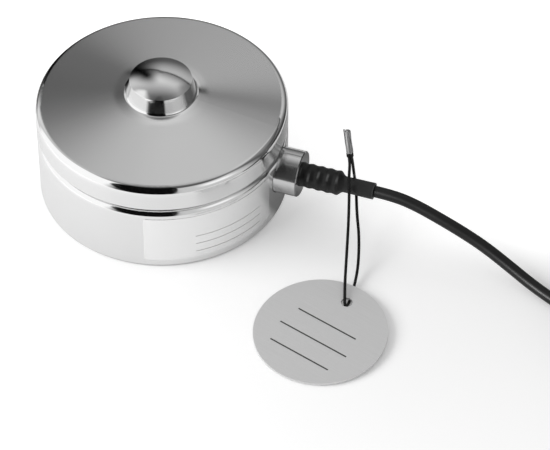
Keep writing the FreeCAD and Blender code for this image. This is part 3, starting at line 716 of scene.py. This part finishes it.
def pressed_crimp():
    """Tube with a closed foot, folded sides and a hollow top."""
    mesh = bpy.data.meshes.new("pressed_crimp")
    shape = bmesh.new()
    rings = [crimp_ring(shape, 0.0, 0.80, 0.0), crimp_ring(shape, 0.012, 0.95, 0.0)]
    rings += [crimp_ring(shape, i / crimp_rings, 1.0, 0.0) for i in range(1, crimp_rings)]
    rings += [crimp_ring(shape, 0.985, 0.97, 0.0), crimp_ring(shape, 1.0, 0.86, 0.0)]
    rings += [crimp_ring(shape, 1.0, 0.74, 0.00012), crimp_ring(shape, 1.0, 0.66, 0.0009)]
    for low, high in zip(rings, rings[1:]):
        for i in range(crimp_points):
            j = (i + 1) % crimp_points
            shape.faces.new((low[i], low[j], high[j], high[i])).smooth = True
    shape.faces.new(rings[0])
    shape.faces.new(rings[-1])
    bmesh.ops.recalc_face_normals(shape, faces=shape.faces)
    shape.to_mesh(mesh)
    shape.free()
    crimp = bpy.data.objects.new("pressed_crimp", mesh)
    scene.collection.objects.link(crimp)
    return crimp


crimp = pressed_crimp()
crimp.data.materials.append(crimp_finish)
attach(crimp, "root")
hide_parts("wire_crimp")
print("pressed crimp", len(crimp.data.polygons), "faces")

# %% Finishes of the cords
free_cable.data.materials.append(jacket_finish)
tag_wire.data.materials.append(wire_finish)
for cord in (free_cable, tag_wire):
    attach(cord, "root")
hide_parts("cable_run", "cable_coil", "cable_tail")
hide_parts("tag_wire")


# %% [markdown]
# A foil plate is stuck round the front of the wall. It is a thin sheet bent to the wall's
# radius, with small round corners, and carries three blank ruled lines.

# %% Foil plate
plate_from, plate_to = math.radians(-78.9), math.radians(-13.6)
plate_low, plate_high, plate_corner = 0.0035, 0.0262, 0.0012
plate_radius, plate_thickness = 0.05002, 0.00008
plate_columns, plate_rows = 48, 8
plate_lines, plate_line_width, plate_line_reach = (3.0, 7.2, 11.4), 0.3, (20.5, 50.5, 0.1)


def foil_plate():
    """Bent sheet with rounded corners, and a map of millimetres on it for its print."""
    mesh = bpy.data.meshes.new("foil_plate")
    shape = bmesh.new()
    wide = (plate_to - plate_from) * plate_radius
    corner = [plate_corner * (1 - math.cos(math.radians(a))) for a in (0, 18, 36, 54, 72, 90)]
    stops = corner + [wide * i / plate_columns for i in range(2, plate_columns - 1)]
    stops += [wide - c for c in reversed(corner)]
    print_map = shape.loops.layers.uv.new("print_map")
    columns = []
    for stop in stops:
        inside = min(stop, wide - stop, plate_corner)
        drop = plate_corner - math.sqrt(max(plate_corner ** 2 - (plate_corner - inside) ** 2, 0.0))
        angle = plate_from + stop / plate_radius
        x, y = plate_radius * math.cos(angle), plate_radius * math.sin(angle)
        column = []
        for i in range(plate_rows + 1):
            height = plate_low + drop + (plate_high - plate_low - 2 * drop) * i / plate_rows
            column.append(shape.verts.new((x, y, height)))
        columns.append(column)
    for a, b, left, right in zip(columns, columns[1:], stops, stops[1:]):
        for i in range(plate_rows):
            face = shape.faces.new((a[i], b[i], b[i + 1], a[i + 1]))
            face.smooth = True
            for loop, along in zip(face.loops, (left, right, right, left)):
                loop[print_map].uv = (along * 1000, (loop.vert.co.z - plate_low) * 1000)
    shape.to_mesh(mesh)
    shape.free()
    plate = bpy.data.objects.new("foil_plate", mesh)
    scene.collection.objects.link(plate)
    skin = plate.modifiers.new("skin", "SOLIDIFY")
    skin.thickness = plate_thickness
    skin.offset = 1.0
    work_in(plate)
    plate.data.set_sharp_from_angle(angle=math.radians(30))
    return plate


def plate_finish():
    """Satin silver foil with three thin ruled lines."""
    finish, root, place = start_finish("plate_foil_silver")
    spot = root.add("ShaderNodeUVMap", {"uv_map": "print_map"})
    along = spot.along(EAST)
    high = spot.along(NORTH)
    grain = place.noise(1500.0, 3.0, 0.6)
    lines = sum(high.within(low, low + plate_line_width, 0.05) for low in plate_lines)
    lines = lines * along.within(*plate_line_reach)
    foil = grain.shade(grey(0.91), grey(0.97))
    return end_finish(finish, root, surface(root, {
        "Base Color": (lines * 0.75).shade(foil, grey(0.06)),
        "Metallic": 0.75 - lines * 0.65, "Roughness": grain * 0.08 + 0.20, "Normal": grain.bump(0.000004)}))


plate = foil_plate()
plate.data.materials.append(plate_finish())
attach(plate, "root")
print("foil plate", len(plate.data.polygons), "faces")


# %% [markdown]
# The studio is a white table under soft light. A soft lamp on the left, a little in front of
# the cell, throws the short shadow to the right. A second one only lends the cable's jacket
# its sheen. What the mirror steel shows is drawn on the world: white all round, a dark stand
# about the camera, a dark gap behind on the left.

# %% Table
picture_back = Vector((-picture_right.y, picture_right.x, 0.0))
table_reach, table_drop = 3.0, 0.0002


def table():
    """Wide white table top, which shows white to the eye and in the steel, and keeps the shadow; painted
    light lifts it towards the back and far out, and painted shadow darkens the table under and behind the
    boss in the steel.
    """
    mesh = bpy.data.meshes.new("table_top")
    signs = ((-1, -1), (1, -1), (1, 1), (-1, 1))
    corners = [(table_reach * x, table_reach * y, 0) for x, y in signs]
    mesh.from_pydata(corners, [], [(0, 1, 2, 3)])
    top = bpy.data.objects.new("table_top", mesh)
    scene.collection.objects.link(top)
    finish, root, place = start_finish("table_white")
    glossy = root.add("ShaderNodeLightPath", output="Is Glossy Ray")
    sight = glossy
    for kind in ("Is Camera Ray", "Is Transmission Ray"):
        sight = root.sum("MAXIMUM", sight, root.add("ShaderNodeLightPath", output=kind))
    east, north = place.along(EAST), place.along(NORTH)
    distance = axis_distance(place, EAST, NORTH)
    # Painted light: the glow for the eye grows towards the back and far out, lifting the shadow there.
    bright_back = north.step(-0.022, 0.030, 0.0, 0.45)
    bright_far = distance.step(0.120, 0.220, 0.0, 0.07) + distance.step(0.300, 0.600, 0.0, 0.60)
    glow = sight * ((bright_back + bright_far) * (1.0 - glossy) + 0.17 * (1.0 - glossy * 0.7))
    glow = root.add("ShaderNodeEmission", None, {"Color": grey(1.0), "Strength": glow})
    # Painted shadow, seen only in the steel: the table is darker under and behind the boss.
    painted_shadow_under_boss = east.within(0.044, 0.068, 0.004) * north.within(-0.006, 0.010, 0.003)
    painted_shadow_past_boss = east.within(0.058, 0.100, 0.006) * north.within(0.025, 0.075, 0.008)
    tone = 0.80 - glossy * (painted_shadow_under_boss * 0.45 + painted_shadow_past_boss * 0.40 + 0.055)
    white = root.add("ShaderNodeBsdfDiffuse", None, {"Color": tone.as_grey()})
    lit = root.add("ShaderNodeAddShader", None, {0: white, 1: glow})
    past_sheet = (distance + place.along(tuple(picture_back)) * 0.37).step(0.252, 0.290)
    past_front = place.along(tuple(-picture_back)).step(0.170, 0.195)
    past_edge = root.sum("MAXIMUM", past_sheet, past_front) * glossy
    sheet = blend(root, past_edge, lit, root.add("ShaderNodeBsdfTransparent"))
    mesh.materials.append(end_finish(finish, root, sheet))
    top.location.z = -table_drop


table()
print("table ready")


# %% World
def studio_world():
    """White round about, with the dark shapes that polished steel needs to be read."""
    world = bpy.data.worlds.new("white_studio")
    world.use_nodes = True
    world.node_tree.nodes.clear()
    root = Signal(world.node_tree)
    ray = root.add("ShaderNodeTexCoord", output="Generated")
    right = ray.along(tuple(picture_right))
    back = ray.along(tuple(picture_back))

    # In degrees: rise over the table, turn to the right of the near side and of the far side
    degrees = 180 / math.pi
    rise = root.sum("ARCSINE", ray.along(UP)) * degrees
    front_turn = root.sum("ARCTAN2", right, back * -1.0) * degrees
    back_turn = root.sum("ARCTAN2", right, back) * degrees

    # Dark stand about the camera
    stand_left = (front_turn + rise * 0.38).step(-33.0, -29.0)
    stand_right = (front_turn - rise * 0.08).step(9.5, 12.5, 1.0, 0.0)
    stand = stand_left * stand_right * rise.step(65.7, 95.6, 0.97, 0.0)

    # Ceiling, brighter to the back, over a backdrop whose upper edge bends down to both sides
    ceiling = back.step(-0.09, 0.852, 0.2416, 1.1364) * (right * 0.272 + 1.0)
    ceiling = ceiling * back.step(-0.20, 0.15, 0.40, 1.02)
    edge_rise = back_turn * 0.2548 - back_turn * back_turn * 0.0068 + 39.5
    edge_rise = edge_rise + root.sum("MINIMUM", back_turn, 0.0) * 0.37
    over_edge = rise - edge_rise
    behind = back_turn.within(-55.0, 85.0, 10.0)
    edge = over_edge.within(-1.5, 1.5, 1.4) * back_turn.within(-30.0, 75.0, 8.0) * 0.93
    backdrop = (rise / root.sum("MAXIMUM", edge_rise, 5.0)).step(0.0, 1.0, 0.905, 0.508)
    backdrop = backdrop * over_edge.step(-1.0, 1.0, 1.0, 0.0) * behind
    lip = over_edge.step(0.0, 26.0, 0.745, 0.0) * over_edge.step(-1.0, 1.0) * behind
    gap = back_turn.within(-38.6, -11.5, 13.0) * rise.step(40.0, 72.0, 1.0, 0.0)
    right_gap = back_turn.within(48.0, 104.0, 10.0) * rise.within(-10.0, 58.0, 8.0) * 0.55
    light = ceiling * (1.0 - gap) * (1.0 - edge) * (1.0 - backdrop) * (1.0 - lip) * (1.0 - right_gap)

    # Softboxes: a tall one on the left, highest at its peak, and a low one on the right
    past_peak = back_turn + 114.0
    left_fall = root.sum("MAXIMUM", past_peak, 0.0) * 0.10
    left_top = root.sum("MINIMUM", past_peak, 0.0) * 0.9 - left_fall + 71.0
    left_wall = back_turn.within(-140.0, -60.0, 8.0) * (rise - left_top).step(-7.0, 6.0, 1.1, 0.0)
    left_wall = left_wall * rise.step(-45.0, -35.0)
    right_bright = front_turn.within(34.0, 62.0, 8.0) * rise.within(18.0, 44.0, 8.0) * 0.42
    right_reach = front_turn.step(5.0, 17.0) * front_turn.step(66.0, 94.0, 1.0, 0.0)
    right_wall = right_reach * rise.within(-40.0, 58.0, 5.0) * (right_bright + 0.62)
    light = root.sum("MAXIMUM", root.sum("MAXIMUM", light, left_wall), right_wall) * (1.0 - stand)

    # The steel sees these shapes, and everything else a plain white
    glossy, seen, through = (
        root.add("ShaderNodeLightPath", output=kind)
        for kind in ("Is Glossy Ray", "Is Camera Ray", "Is Transmission Ray"))
    plain = root.sum("MAXIMUM", seen, through)
    strength = glossy * light + (1.0 - glossy) * (plain * 0.41 + 0.59)
    background = root.add("ShaderNodeBackground", None, {"Color": grey(1.0), "Strength": strength})
    root.add("ShaderNodeOutputWorld", None, {"Surface": background}, None)
    scene.world = world


studio_world()
print("world ready")


# %% Lamps
def soft_lamp(name, direction, distance, width, height, power):
    """A soft lamp that faces the cell, out of sight and out of the steel's reflections."""
    lamp = bpy.data.objects.new(name, bpy.data.lights.new(name, "AREA"))
    lamp.data.shape = "RECTANGLE"
    lamp.data.size = width
    lamp.data.size_y = height
    lamp.data.energy = power
    aim = Vector(direction).normalized()
    lamp.location = aim * distance
    lamp.rotation_euler = aim.to_track_quat("Z", "Y").to_euler()
    lamp.visible_camera = False
    lamp.visible_glossy = False
    scene.collection.objects.link(lamp)
    return lamp


key_direction = picture_right * -0.763 - picture_back * 0.285 + Vector((0.0, 0.0, 0.579))
soft_lamp("key_lamp", key_direction, distance=0.544, width=0.422, height=0.319, power=2.8)
sheen_direction = picture_right * -0.600 - picture_back * 0.620 + Vector((0.0, 0.0, 0.500))
sheen_lamp = soft_lamp("sheen_lamp", sheen_direction, distance=0.52, width=0.20, height=0.20, power=3.4)
sheen_lamp.visible_glossy = True
sheen_lamp.data.diffuse_factor = 0.0
shining_jacket = bpy.data.collections.new("shining_jacket")
shining_jacket.objects.link(free_cable)
sheen_lamp.light_linking.receiver_collection = shining_jacket
print("lamps ready")

# %% [markdown]

# %% Finish
print("scene dressed")
